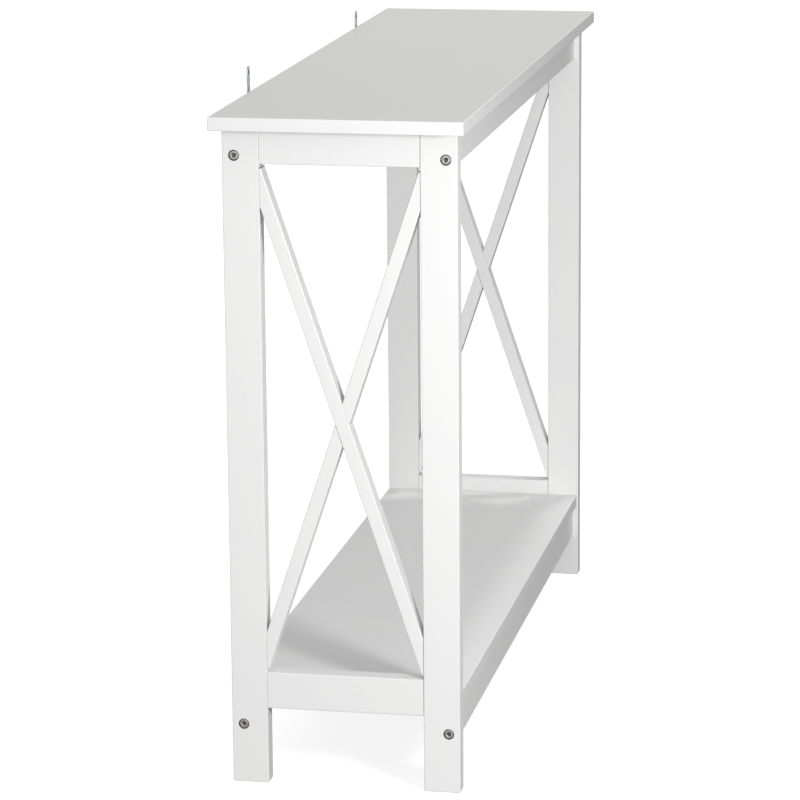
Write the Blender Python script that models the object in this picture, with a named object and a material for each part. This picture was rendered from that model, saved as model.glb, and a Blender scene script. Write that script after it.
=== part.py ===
"""A narrow console table: two X-braced end frames joined by four long rails, a top and a shelf.

The end frames are glued up with stub tenons and stay in one piece. The rest comes apart: eight bolts
go in through the legs and screw into barrel nuts in the long rails, a dowel beside each bolt stops
the rail from turning, and screws driven up through the rails hold the top and the shelf. Two slotted
steel plates on the back edge of the top hold the table to a wall.

Metres, +Z up. The length runs along X, the front faces -Y, and the origin is on the floor at the
centre of the whole object's box.
"""

import math

import bmesh
import bpy
from mathutils import Matrix, Vector

# Panels
TOP_LENGTH = 1.000
TOP_DEPTH = 0.280
TABLE_HEIGHT = 0.760
PANEL_THICKNESS = 0.015
END_OVERHANG = 0.032
FRONT_OVERHANG = 0.012
BACK_OVERHANG = 0.008
SHELF_HEIGHT = 0.111  # floor to the shelf's upper face
SHELF_FRONT_INSET = 0.002  # behind the legs' front faces. The back edge is flush with the legs

# End frames, all cut from one board thickness
BOARD_THICKNESS = 0.021
LEG_WIDTH = 0.041
END_TOP_RAIL_HEIGHT = 0.040
END_LOWER_RAIL_HEIGHT = 0.042
END_LOWER_RAIL_BOTTOM = 0.088
BRACE_WIDTH = 0.015
BRACE_TIP_GAP = 0.0045  # from a brace's cut-off tip to the rail beside it

# Long rails: the aprons under the top, and the rails under the shelf
LONG_RAIL_HEIGHT = 0.042
LONG_RAIL_THICKNESS = 0.012
LONG_RAIL_RECESS = 0.007  # behind the legs' outer face

# Stub tenons of the glued frames
TENON_SHOULDER = 0.0065
RAIL_TENON_LENGTH = 0.015
BRACE_TENON_LENGTH = 0.008

# Bolt, barrel nut and dowel at each end of each long rail
TOP_BOLT_HEIGHT = 0.714
LOWER_BOLT_HEIGHT = 0.068
DOWEL_ABOVE_BOLT = 0.018
BOLT_DIAMETER = 0.006
BOLT_SHANK_LENGTH = 0.050
BOLT_HEAD_DIAMETER = 0.011
BOLT_HEAD_HEIGHT = 0.005
BOLT_SOCKET_WIDTH = 0.004  # across the flats
BOLT_SOCKET_DEPTH = 0.003
COUNTERBORE_DIAMETER = 0.012
COUNTERBORE_DEPTH = 0.0063
NUT_DIAMETER = 0.010
NUT_LENGTH = 0.009
NUT_DISTANCE = 0.030  # from the rail's end
NUT_SLOT_WIDTH = 0.0015
NUT_SLOT_DEPTH = 0.0012
DOWEL_DIAMETER = 0.006
DOWEL_IN_LEG = 0.010
DOWEL_IN_RAIL = 0.018

# Countersunk screws, driven up through a long rail into the panel on it
SCREW_DIAMETER = 0.004
SCREW_HEAD_DIAMETER = 0.008
SCREW_HEAD_HEIGHT = 0.0026
SCREW_IN_RAIL = 0.024
SCREW_IN_PANEL = 0.010
SCREW_OFFSET = 0.250  # from the middle of the length

# Anti-tip plates, each held by a pan-head screw in the top's back edge
PLATE_OFFSET = 0.300  # from the middle of the length
PLATE_RISES = {"left": 0.029, "right": 0.020}  # how far each stands above the top
PLATE_WIDTH = 0.011
PLATE_LENGTH = 0.046
PLATE_THICKNESS = 0.0012
PLATE_HOLE_DIAMETER = 0.005
PLATE_HOLE_FROM_TIP = 0.0075
PLATE_SLOT_WIDTH = 0.0045
PLATE_SLOT_LOW = 0.007  # from the plate's lower end to the slot's lower centre
PLATE_SLOT_HIGH = 0.021
PLATE_CORNER_RADIUS = 0.002
PAN_HEAD_DIAMETER = 0.008
PAN_HEAD_HEIGHT = 0.0022
PAN_SCREW_DIAMETER = 0.0035
PAN_SCREW_LENGTH = 0.016

# Fits
GAP = 0.0003  # between pieces that touch
EASE = 0.001  # sanded edges of the boards
OVERCUT = 0.001  # how far a cutter stands out of the surface it cuts
ROUND_SEGMENTS = 12  # of hidden round pieces and their bores
HEAD_SEGMENTS = 20  # of the bolts and of the bores their heads sit in
SHARP_ANGLE = math.radians(35)

# Heights and places that follow
TOP_UNDERSIDE = TABLE_HEIGHT - PANEL_THICKNESS
SHELF_UNDERSIDE = SHELF_HEIGHT - PANEL_THICKNESS
END_TOP_RAIL_BOTTOM = TOP_UNDERSIDE - END_TOP_RAIL_HEIGHT
END_LOWER_RAIL_TOP = END_LOWER_RAIL_BOTTOM + END_LOWER_RAIL_HEIGHT
OPENING_MIDDLE = (END_TOP_RAIL_BOTTOM + END_LOWER_RAIL_TOP) / 2
OPENING_HALF = (END_TOP_RAIL_BOTTOM - END_LOWER_RAIL_TOP) / 2
FRAME_DEPTH = TOP_DEPTH - FRONT_OVERHANG - BACK_OVERHANG
PLATE_STANDOUT = GAP + PLATE_THICKNESS + GAP + PAN_HEAD_HEIGHT
TOP_FRONT = -(TOP_DEPTH + PLATE_STANDOUT) / 2
TOP_BACK = TOP_FRONT + TOP_DEPTH
FRAME_MIDDLE = TOP_FRONT + FRONT_OVERHANG + FRAME_DEPTH / 2
FRAME_OFFSET = TOP_LENGTH / 2 - END_OVERHANG - BOARD_THICKNESS / 2  # frame's mid-plane along X
LEG_INNER = FRAME_DEPTH / 2 - LEG_WIDTH  # inner face, from the frame's middle
END_REACH = LEG_INNER - GAP  # shoulders of the end rails and braces, from the frame's middle
LONG_RAIL_LENGTH = 2 * (FRAME_OFFSET - BOARD_THICKNESS / 2 - GAP)
BOLT_LINE = FRAME_DEPTH / 2 - LONG_RAIL_RECESS - LONG_RAIL_THICKNESS / 2
LEVELS = {"top": TOP_BOLT_HEIGHT, "lower": LOWER_BOLT_HEIGHT}
PANEL_UNDERSIDES = {"top": TOP_UNDERSIDE, "lower": SHELF_UNDERSIDE}

# Axes that turned pieces and bores lie on: local +Z is turned to point along the named direction
ALONG_X = Matrix.Rotation(math.radians(90), 4, "Y")
ALONG_Y = Matrix.Rotation(math.radians(-90), 4, "X")
UPWARD = Matrix.Identity(4)


def clear_scene():
    for item in list(bpy.data.objects):
        bpy.data.objects.remove(item, do_unlink=True)


def make_material(name, color, roughness, metallic=0.0):
    material = bpy.data.materials.new(name)
    material.use_nodes = True
    shader = material.node_tree.nodes["Principled BSDF"]
    shader.inputs["Base Color"].default_value = (*color, 1.0)
    shader.inputs["Roughness"].default_value = roughness
    shader.inputs["Metallic"].default_value = metallic
    material.diffuse_color = (*color, 1.0)
    return material


def mesh_from(bm, name):
    bmesh.ops.recalc_face_normals(bm, faces=bm.faces)
    mesh = bpy.data.meshes.new(name)
    bm.to_mesh(mesh)
    bm.free()
    return mesh


def place(name, mesh, material, parent=None, location=(0.0, 0.0, 0.0)):
    """A new object with this mesh, in the scene."""
    if not mesh.materials:
        mesh.materials.append(material)
    mesh.shade_smooth()
    mesh.set_sharp_from_angle(angle=SHARP_ANGLE)
    item = bpy.data.objects.new(name, mesh)
    item.location = location
    item.parent = parent
    bpy.context.scene.collection.objects.link(item)
    return item


def cut(item, bm, label):
    """Cuts the closed bodies in bm, which are in the item's own coordinates, out of the item."""
    cutter = bpy.data.objects.new(f"cutter_{item.name}_{label}", mesh_from(bm, f"{item.name}_{label}"))
    cutter.parent = item
    cutter.hide_render = True
    cutter.display_type = "WIRE"
    bpy.context.scene.collection.objects.link(cutter)
    boolean = item.modifiers.new(label, "BOOLEAN")
    boolean.operation = "DIFFERENCE"
    boolean.solver = "EXACT"
    boolean.object = cutter


def baked(item):
    """The item's mesh with its cuts made, for pieces that share one mesh. The item itself goes."""
    graph = bpy.context.evaluated_depsgraph_get()
    mesh = bpy.data.meshes.new_from_object(item.evaluated_get(graph))
    for cutter in list(item.children):
        bpy.data.objects.remove(cutter, do_unlink=True)
    bpy.data.objects.remove(item, do_unlink=True)
    return mesh


def add_box(bm, low, high):
    """A box between two corners. Returns its vertices."""
    low = Vector(low)
    high = Vector(high)
    matrix = Matrix.Translation((low + high) / 2) @ Matrix.Diagonal((*(high - low), 1.0))
    return bmesh.ops.create_cube(bm, size=1.0, matrix=matrix)["verts"]


def eased_box(low, high):
    """A box with all its edges eased."""
    bm = bmesh.new()
    add_box(bm, low, high)
    bmesh.ops.bevel(bm, geom=bm.edges[:], offset=EASE, segments=1, affect="EDGES")
    return bm


def ease_long_edges(bm):
    """Eases only the edges that run the whole length of a rail, not its ends or its tenons."""
    longest = max(edge.calc_length() for edge in bm.edges)
    edges = [edge for edge in bm.edges if edge.calc_length() > longest - GAP]
    bmesh.ops.bevel(bm, geom=edges, offset=EASE, segments=1, affect="EDGES")


def add_turned(bm, stations, start, axis, segments=ROUND_SEGMENTS):
    """A closed round body along an axis. Each station is (distance from the start, radius)."""
    matrix = Matrix.Translation(start) @ axis
    rings = []
    for distance, radius in stations:
        ring = []
        for step in range(segments):
            angle = math.tau * (step + 0.5) / segments
            point = Vector((radius * math.cos(angle), radius * math.sin(angle), distance))
            ring.append(bm.verts.new(matrix @ point))
        rings.append(ring)
    for lower, upper in zip(rings, rings[1:]):
        for step in range(segments):
            after = (step + 1) % segments
            bm.faces.new((lower[step], lower[after], upper[after], upper[step]))
    bm.faces.new(rings[0][::-1])
    bm.faces.new(rings[-1])


def add_bore(bm, diameter, start, axis, depth):
    """A plain round cutter that starts a little outside the surface at its start."""
    radius = diameter / 2 + GAP
    add_turned(bm, [(-OVERCUT, radius), (depth + GAP, radius)], start, axis)


def add_tenon(bm, direction, length):
    """A stub tenon on the body's end face in this direction, with equal shoulders all round."""
    direction = Vector(direction)
    bm.normal_update()
    face = max(bm.faces, key=lambda item: item.normal.dot(direction))
    bmesh.ops.inset_region(bm, faces=[face], thickness=TENON_SHOULDER, use_even_offset=True)
    extruded = bmesh.ops.extrude_discrete_faces(bm, faces=[face])["faces"]
    bmesh.ops.translate(bm, vec=direction * length, verts=extruded[0].verts)


def brace_lean():
    """A brace's angle from upright, for which its uncut tips would reach the opening's corners."""
    # The lean sets the height of the brace's sloping end, and that height sets the lean.
    end_height = BRACE_WIDTH
    for _ in range(40):
        lean = math.atan2(2 * END_REACH, 2 * OPENING_HALF - end_height)
        end_height = BRACE_WIDTH / math.sin(lean)
    return lean


def brace_end():
    """Lowest and highest point of a brace's upper end face, above the opening's middle."""
    return OPENING_HALF - BRACE_WIDTH / math.sin(brace_lean()), OPENING_HALF - BRACE_TIP_GAP


def brace_outline(turn, grow=0.0):
    """Corners (y, z) of a brace that rises towards +Y (turn 1) or -Y (turn -1), widened by grow."""
    lean = brace_lean()
    spread = grow / math.sin(lean)
    low, high = brace_end()
    tip = (BRACE_TIP_GAP + spread) * math.tan(lean)
    upper = [(END_REACH, low - spread), (END_REACH, high), (END_REACH - tip, high)]
    lower = [(-y, -z) for y, z in upper]
    return [(turn * y, OPENING_MIDDLE + z) for y, z in upper + lower]


def add_plate(bm, corners, depth):
    """A closed body: the flat outline through these corners, carried on by the vector depth."""
    face = bm.faces.new([bm.verts.new(corner) for corner in corners])
    extruded = bmesh.ops.extrude_face_region(bm, geom=[face])["geom"]
    moved = [item for item in extruded if isinstance(item, bmesh.types.BMVert)]
    bmesh.ops.translate(bm, vec=depth, verts=moved)
    bmesh.ops.recalc_face_normals(bm, faces=bm.faces)


def make_top(paint):
    low = (-TOP_LENGTH / 2, TOP_FRONT, TOP_UNDERSIDE)
    high = (TOP_LENGTH / 2, TOP_BACK, TABLE_HEIGHT)
    top = place("top_panel", mesh_from(eased_box(low, high), "top_panel"), paint)
    bores = bmesh.new()
    for x, y in screw_places():
        add_bore(bores, SCREW_DIAMETER, (x, y, TOP_UNDERSIDE), UPWARD, SCREW_IN_PANEL)
    for x in (-PLATE_OFFSET, PLATE_OFFSET):
        start = (x, TOP_BACK, TOP_UNDERSIDE + PANEL_THICKNESS / 2)
        add_bore(bores, PAN_SCREW_DIAMETER, start, ALONG_Y.inverted(), PAN_SCREW_LENGTH)
    cut(top, bores, "screw_holes")


def make_shelf(paint):
    reach = LONG_RAIL_LENGTH / 2
    low = (-reach, FRAME_MIDDLE - FRAME_DEPTH / 2 + SHELF_FRONT_INSET, SHELF_UNDERSIDE)
    high = (reach, FRAME_MIDDLE + FRAME_DEPTH / 2, SHELF_HEIGHT)
    shelf = place("shelf_panel", mesh_from(eased_box(low, high), "shelf_panel"), paint)
    bores = bmesh.new()
    for x, y in screw_places():
        add_bore(bores, SCREW_DIAMETER, (x, y, SHELF_UNDERSIDE), UPWARD, SCREW_IN_PANEL)
    cut(shelf, bores, "screw_holes")


def screw_places():
    """Places (x, y) of the four screws that hold a panel, on the long rails' middle lines."""
    return [(x, FRAME_MIDDLE + side * BOLT_LINE) for side in (-1, 1) for x in (-SCREW_OFFSET, SCREW_OFFSET)]


def make_leg(name, side, paint, parent):
    """A leg of an end frame, in the frame's coordinates: -X is the outer face, side is its Y side."""
    low = (-BOARD_THICKNESS / 2, min(side * LEG_INNER, side * FRAME_DEPTH / 2), 0.0)
    high = (BOARD_THICKNESS / 2, max(side * LEG_INNER, side * FRAME_DEPTH / 2), TOP_UNDERSIDE - GAP)
    leg = place(name, mesh_from(eased_box(low, high), name), paint, parent)

    bores = bmesh.new()
    clearance = BOLT_DIAMETER / 2 + GAP
    stations = [
        (-OVERCUT, COUNTERBORE_DIAMETER / 2),
        (COUNTERBORE_DEPTH, COUNTERBORE_DIAMETER / 2),
        (COUNTERBORE_DEPTH, clearance),
        (BOARD_THICKNESS + OVERCUT, clearance),
    ]
    for height in LEVELS.values():
        start = (-BOARD_THICKNESS / 2, side * BOLT_LINE, height)
        add_turned(bores, stations, start, ALONG_X, HEAD_SEGMENTS)
        start = (BOARD_THICKNESS / 2, side * BOLT_LINE, height + DOWEL_ABOVE_BOLT)
        add_bore(bores, DOWEL_DIAMETER, start, ALONG_X.inverted(), DOWEL_IN_LEG)
    cut(leg, bores, "bores")

    mortises = bmesh.new()
    half = BOARD_THICKNESS / 2 - TENON_SHOULDER + GAP
    low, high = brace_end()
    slots = (
        (END_TOP_RAIL_BOTTOM, TOP_UNDERSIDE - GAP, RAIL_TENON_LENGTH),
        (END_LOWER_RAIL_BOTTOM, END_LOWER_RAIL_TOP, RAIL_TENON_LENGTH),
        (OPENING_MIDDLE - high, OPENING_MIDDLE - low, BRACE_TENON_LENGTH),
        (OPENING_MIDDLE + low, OPENING_MIDDLE + high, BRACE_TENON_LENGTH),
    )
    for bottom, top, length in slots:
        ends = sorted((side * (LEG_INNER - OVERCUT), side * (LEG_INNER + length + GAP)))
        corner = (-half, ends[0], bottom + TENON_SHOULDER - GAP)
        opposite = (half, ends[1], top - TENON_SHOULDER + GAP)
        add_box(mortises, corner, opposite)
    cut(leg, mortises, "mortises")


def make_end_rail(name, bottom, height, paint, parent):
    low = (-BOARD_THICKNESS / 2, -END_REACH, bottom)
    high = (BOARD_THICKNESS / 2, END_REACH, bottom + height)
    bm = bmesh.new()
    add_box(bm, low, high)
    for direction in ((0.0, -1.0, 0.0), (0.0, 1.0, 0.0)):
        add_tenon(bm, direction, RAIL_TENON_LENGTH)
    ease_long_edges(bm)
    place(name, mesh_from(bm, name), paint, parent)


def make_brace(name, turn, paint, parent):
    """One strip of the X. The one with turn 1 runs through unbroken on the frame's outer face."""
    bm = bmesh.new()
    corners = [(-BOARD_THICKNESS / 2, y, z) for y, z in brace_outline(turn)]
    add_plate(bm, corners, (BOARD_THICKNESS, 0.0, 0.0))
    for direction in ((0.0, -1.0, 0.0), (0.0, 1.0, 0.0)):
        add_tenon(bm, direction, BRACE_TENON_LENGTH)
    brace = place(name, mesh_from(bm, name), paint, parent)

    notch = bmesh.new()
    outside = turn * (BOARD_THICKNESS / 2 + OVERCUT)
    lap = -turn * GAP / 2
    corners = [(outside, y, z) for y, z in brace_outline(-turn, GAP)]
    add_plate(notch, corners, (lap - outside, 0.0, 0.0))
    cut(brace, notch, "half_lap")


def make_end_frame(end, paint):
    """The frame at the left (-X) end. The right one is the same frame turned half round."""
    turn = -1 if end == "left" else 1
    frame = bpy.data.objects.new(f"end_frame_{end}", None)
    frame.location = (turn * FRAME_OFFSET, FRAME_MIDDLE, 0.0)
    frame.rotation_euler.z = 0.0 if end == "left" else math.pi
    bpy.context.scene.collection.objects.link(frame)
    sides = {"front": turn, "back": -turn}
    for face, side in sides.items():
        make_leg(f"leg_{end}_{face}", side, paint, frame)
    height = END_TOP_RAIL_HEIGHT - GAP
    make_end_rail(f"end_top_rail_{end}", END_TOP_RAIL_BOTTOM, height, paint, frame)
    height = END_LOWER_RAIL_HEIGHT
    make_end_rail(f"end_lower_rail_{end}", END_LOWER_RAIL_BOTTOM, height, paint, frame)
    for face, side in sides.items():
        make_brace(f"brace_{end}_rising_{face}", side, paint, frame)
    return frame, sides


def make_long_rail(name, side, level, paint):
    """An apron or a lower rail: side -1 is the front one."""
    y = FRAME_MIDDLE + side * BOLT_LINE
    top = PANEL_UNDERSIDES[level] - GAP
    bottom = PANEL_UNDERSIDES[level] - LONG_RAIL_HEIGHT
    reach = LONG_RAIL_LENGTH / 2
    low = (-reach, -LONG_RAIL_THICKNESS / 2, bottom)
    high = (reach, LONG_RAIL_THICKNESS / 2, top)
    bm = bmesh.new()
    add_box(bm, low, high)
    ease_long_edges(bm)
    rail = place(name, mesh_from(bm, name), paint, location=(0.0, y, 0.0))

    bores = bmesh.new()
    nut_bores = bmesh.new()
    bolt_depth = BOLT_SHANK_LENGTH - BOARD_THICKNESS + COUNTERBORE_DEPTH
    for turn, inward in ((-1, ALONG_X), (1, ALONG_X.inverted())):
        height = LEVELS[level]
        add_bore(bores, BOLT_DIAMETER, (turn * reach, 0.0, height), inward, bolt_depth)
        start = (turn * reach, 0.0, height + DOWEL_ABOVE_BOLT)
        add_bore(bores, DOWEL_DIAMETER, start, inward, DOWEL_IN_RAIL)
        start = (turn * (reach - NUT_DISTANCE), -side * LONG_RAIL_THICKNESS / 2, height)
        outward = ALONG_Y if side > 0 else ALONG_Y.inverted()
        add_bore(nut_bores, NUT_DIAMETER, start, outward, (LONG_RAIL_THICKNESS + NUT_LENGTH) / 2)
    clearance = SCREW_DIAMETER / 2 + GAP
    access = SCREW_HEAD_DIAMETER / 2 + GAP
    seat = LONG_RAIL_HEIGHT - SCREW_IN_RAIL - GAP
    stations = [
        (-OVERCUT, access),
        (seat, access),
        (seat + SCREW_HEAD_HEIGHT, clearance),
        (LONG_RAIL_HEIGHT + OVERCUT, clearance),
    ]
    for x in (-SCREW_OFFSET, SCREW_OFFSET):
        add_turned(bores, stations, (x, 0.0, bottom), UPWARD)
    cut(rail, bores, "bores")
    cut(rail, nut_bores, "nut_bores")


def bolt_mesh(steel):
    """Origin under the head, shank along +X. The head has a hexagon socket."""
    bm = bmesh.new()
    head = BOLT_HEAD_DIAMETER / 2
    shank = BOLT_DIAMETER / 2
    stations = [
        (-BOLT_HEAD_HEIGHT, head - EASE / 2),
        (-BOLT_HEAD_HEIGHT + EASE / 2, head),
        (0.0, head),
        (0.0, shank),
        (BOLT_SHANK_LENGTH - EASE, shank),
        (BOLT_SHANK_LENGTH, shank - EASE / 2),
    ]
    add_turned(bm, stations, (0.0, 0.0, 0.0), ALONG_X, HEAD_SEGMENTS)
    bolt = place("bolt_pattern", mesh_from(bm, "connector_bolt"), steel)
    socket = bmesh.new()
    corner = BOLT_SOCKET_WIDTH / math.sqrt(3)
    stations = [(-OVERCUT, corner), (BOLT_SOCKET_DEPTH, corner)]
    add_turned(socket, stations, (-BOLT_HEAD_HEIGHT, 0.0, 0.0), ALONG_X, segments=6)
    cut(bolt, socket, "socket")
    return baked(bolt)


def nut_mesh(steel):
    """Origin at the crossing of its own axis, along Y, and its threaded bore, along X."""
    bm = bmesh.new()
    half = NUT_LENGTH / 2
    radius = NUT_DIAMETER / 2
    chamfer = EASE / 4
    stations = [
        (-half, radius - chamfer),
        (-half + chamfer, radius),
        (half - chamfer, radius),
        (half, radius - chamfer),
    ]
    add_turned(bm, stations, (0.0, 0.0, 0.0), ALONG_Y)
    nut = place("nut_pattern", mesh_from(bm, "barrel_nut"), steel)
    bore = bmesh.new()
    add_bore(bore, BOLT_DIAMETER, (-radius, 0.0, 0.0), ALONG_X, NUT_DIAMETER + OVERCUT)
    cut(nut, bore, "bore")
    slot = bmesh.new()
    low = (-radius - OVERCUT, half - NUT_SLOT_DEPTH, -NUT_SLOT_WIDTH / 2)
    high = (radius + OVERCUT, half + OVERCUT, NUT_SLOT_WIDTH / 2)
    add_box(slot, low, high)
    cut(nut, slot, "driver_slot")
    return baked(nut)


def dowel_mesh():
    """Origin at its end in the leg, pointing along +X."""
    bm = bmesh.new()
    radius = DOWEL_DIAMETER / 2
    length = DOWEL_IN_LEG + DOWEL_IN_RAIL
    stations = [(0.0, radius - EASE), (EASE, radius), (length - EASE, radius), (length, radius - EASE)]
    add_turned(bm, stations, (0.0, 0.0, 0.0), ALONG_X)
    return mesh_from(bm, "rail_dowel")


def make_frame_fixings(end, frame, sides, steel, beech, meshes):
    """The bolts, nuts and dowels that join the long rails to one end frame."""
    outer_face = -BOARD_THICKNESS / 2
    inner_face = BOARD_THICKNESS / 2
    for face, side in sides.items():
        for level, height in LEVELS.items():
            suffix = f"{end}_{face}_{level}"
            y = side * BOLT_LINE
            location = (outer_face + COUNTERBORE_DEPTH - GAP, y, height)
            place(f"connector_bolt_{suffix}", meshes["bolt"], steel, frame, location)
            location = (inner_face + GAP + NUT_DISTANCE, y, height)
            nut = place(f"barrel_nut_{suffix}", meshes["nut"], steel, frame, location)
            nut.rotation_euler.z = 0.0 if side < 0 else math.pi
            location = (inner_face - DOWEL_IN_LEG + GAP / 2, y, height + DOWEL_ABOVE_BOLT)
            place(f"rail_dowel_{suffix}", meshes["dowel"], beech, frame, location)


def screw_mesh():
    """A countersunk screw. Origin at its head's flat face, pointing along +Z."""
    bm = bmesh.new()
    shank = SCREW_DIAMETER / 2
    length = SCREW_IN_RAIL + SCREW_IN_PANEL - GAP
    stations = [
        (0.0, SCREW_HEAD_DIAMETER / 2 - GAP),
        (GAP, SCREW_HEAD_DIAMETER / 2),
        (SCREW_HEAD_HEIGHT, shank),
        (length - SCREW_DIAMETER, shank),
        (length, GAP),
    ]
    add_turned(bm, stations, (0.0, 0.0, 0.0), UPWARD)
    return mesh_from(bm, "countersunk_screw")


def make_panel_screws(steel):
    mesh = screw_mesh()
    for level, label in (("top", "top_screw"), ("lower", "shelf_screw")):
        for number, (x, y) in enumerate(screw_places(), start=1):
            height = PANEL_UNDERSIDES[level] - SCREW_IN_RAIL - GAP
            place(f"{label}_{number}", mesh, steel, location=(x, y, height))


def plate_outline():
    """Corners (x, z) of an anti-tip plate: a half-round tip and two small lower radii."""
    points = []
    half = PLATE_WIDTH / 2
    radius = PLATE_CORNER_RADIUS
    corners = (
        (0.0, PLATE_LENGTH - half, half, 0, 180, 12),
        (-half + radius, radius, radius, 180, 270, 3),
        (half - radius, radius, radius, 270, 360, 3),
    )
    for x, z, size, first, last, steps in corners:
        for step in range(steps + 1):
            angle = math.radians(first + (last - first) * step / steps)
            points.append((x + size * math.cos(angle), z + size * math.sin(angle)))
    return points


def make_plate(name, steel, x, rise):
    """Origin at the middle of its lower end, on the face that lies against the top's back edge."""
    bm = bmesh.new()
    corners = [(across, 0.0, up) for across, up in plate_outline()]
    add_plate(bm, corners, (0.0, PLATE_THICKNESS, 0.0))
    location = (x, TOP_BACK + GAP, TABLE_HEIGHT + rise - PLATE_LENGTH)
    plate = place(name, mesh_from(bm, name), steel, location=location)

    holes = bmesh.new()
    radius = PLATE_HOLE_DIAMETER / 2
    stations = [(-OVERCUT, radius), (PLATE_THICKNESS + OVERCUT, radius)]
    add_turned(holes, stations, (0.0, 0.0, PLATE_LENGTH - PLATE_HOLE_FROM_TIP), ALONG_Y)
    corners = [(across, -OVERCUT, up) for across, up in slot_outline()]
    add_plate(holes, corners, (0.0, PLATE_THICKNESS + 2 * OVERCUT, 0.0))
    cut(plate, holes, "holes")


def slot_outline():
    """Corners (x, z) of the slot that lets a plate be set higher or lower."""
    points = []
    radius = PLATE_SLOT_WIDTH / 2
    for z, first in ((PLATE_SLOT_HIGH, 0), (PLATE_SLOT_LOW, 180)):
        for step in range(7):
            angle = math.radians(first + 180 * step / 6)
            points.append((radius * math.cos(angle), z + radius * math.sin(angle)))
    return points


def pan_screw_mesh():
    """A pan-head screw. Origin under its head, pointing along +Z."""
    bm = bmesh.new()
    head = PAN_HEAD_DIAMETER / 2
    shank = PAN_SCREW_DIAMETER / 2
    stations = [
        (-PAN_HEAD_HEIGHT, head * 0.55),
        (-PAN_HEAD_HEIGHT * 0.85, head * 0.80),
        (-PAN_HEAD_HEIGHT * 0.45, head),
        (0.0, head),
        (0.0, shank),
        (PAN_SCREW_LENGTH - PAN_SCREW_DIAMETER, shank),
        (PAN_SCREW_LENGTH, GAP),
    ]
    add_turned(bm, stations, (0.0, 0.0, 0.0), ALONG_Y.inverted())
    return mesh_from(bm, "pan_head_screw")


def make_anti_tip_plates(steel):
    mesh = pan_screw_mesh()
    for end, x in (("left", -PLATE_OFFSET), ("right", PLATE_OFFSET)):
        make_plate(f"anti_tip_plate_{end}", steel, x, PLATE_RISES[end])
        y = TOP_BACK + GAP + PLATE_THICKNESS + GAP
        location = (x, y, TOP_UNDERSIDE + PANEL_THICKNESS / 2)
        place(f"plate_screw_{end}", mesh, steel, location=location)


def main():
    clear_scene()
    paint = make_material("white_paint", (0.86, 0.86, 0.85), 0.45)
    bolt_steel = make_material("bolt_steel", (0.62, 0.62, 0.60), 0.28, metallic=1.0)
    screw_steel = make_material("screw_steel", (0.66, 0.64, 0.58), 0.35, metallic=1.0)
    plate_steel = make_material("plate_steel", (0.58, 0.61, 0.63), 0.38, metallic=1.0)
    beech = make_material("beech", (0.70, 0.53, 0.34), 0.70)

    meshes = {"bolt": bolt_mesh(bolt_steel), "nut": nut_mesh(bolt_steel), "dowel": dowel_mesh()}
    for end in ("left", "right"):
        frame, sides = make_end_frame(end, paint)
        make_frame_fixings(end, frame, sides, bolt_steel, beech, meshes)
    for face, side in (("front", -1), ("back", 1)):
        make_long_rail(f"apron_{face}", side, "top", paint)
        make_long_rail(f"lower_rail_{face}", side, "lower", paint)
    make_top(paint)
    make_shelf(paint)
    make_panel_screws(screw_steel)
    make_anti_tip_plates(plate_steel)


main()
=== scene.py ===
"""The looks of the console table: painted boards with eased edges, bolts, screws and anti-tip plates.

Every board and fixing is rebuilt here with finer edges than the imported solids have, at the places that
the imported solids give. Metres, +Z up, in the row frame.
"""

import math
import random

import bmesh
import bpy
import numpy as np
from mathutils import Matrix, Vector


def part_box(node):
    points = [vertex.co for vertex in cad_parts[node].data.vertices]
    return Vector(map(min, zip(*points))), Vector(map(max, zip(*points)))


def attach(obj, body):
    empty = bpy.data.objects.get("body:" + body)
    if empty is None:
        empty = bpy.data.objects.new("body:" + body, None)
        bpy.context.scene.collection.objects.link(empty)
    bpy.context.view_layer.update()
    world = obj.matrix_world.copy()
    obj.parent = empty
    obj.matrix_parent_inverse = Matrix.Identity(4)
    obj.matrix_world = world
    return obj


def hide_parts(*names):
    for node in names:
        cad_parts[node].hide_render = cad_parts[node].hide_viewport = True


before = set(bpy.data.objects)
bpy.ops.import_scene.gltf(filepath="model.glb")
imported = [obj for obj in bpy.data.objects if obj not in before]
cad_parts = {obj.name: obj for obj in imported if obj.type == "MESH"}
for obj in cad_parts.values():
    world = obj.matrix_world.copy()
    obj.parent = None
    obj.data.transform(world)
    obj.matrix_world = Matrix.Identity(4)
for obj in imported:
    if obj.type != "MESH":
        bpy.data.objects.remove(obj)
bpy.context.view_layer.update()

# Camera and framing
CAMERA_PLACE = Vector((-4.2429, -0.8037, 1.3306))
CAMERA_AIM = Vector((0.0, 0.0266, 0.3388))
CAMERA_ROLL = math.radians(-0.478)
CAMERA_LENS = 162.64
SENSOR_WIDTH = 36.0

# Boards
ARRIS = 0.0010  # radius of the sanded edges
FIT = 0.0003  # gap between pieces that touch
TENON_SHOULDER = 0.0065
RAIL_TENON = 0.015
BRACE_TENON = 0.008
BRACE_WIDTH = 0.015
BRACE_TIP_GAP = 0.0045
BRACE_EDGE_SPREAD = 0.02  # a brace's long edges differ in length by less than this
RIM = 0.00035  # paint-rounded rim of a bore
OVERCUT = 0.002  # how far a cutter stands out of the face it cuts
FACE_DEPTH = 0.00005  # how close to a face a vertex counts as on it
TIP_SHADE = 0.0008  # how far the painted shade reaches round a brace's sawn tip
FAR = 10.0  # stands for a half length whose ends never count as eased edges

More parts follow.
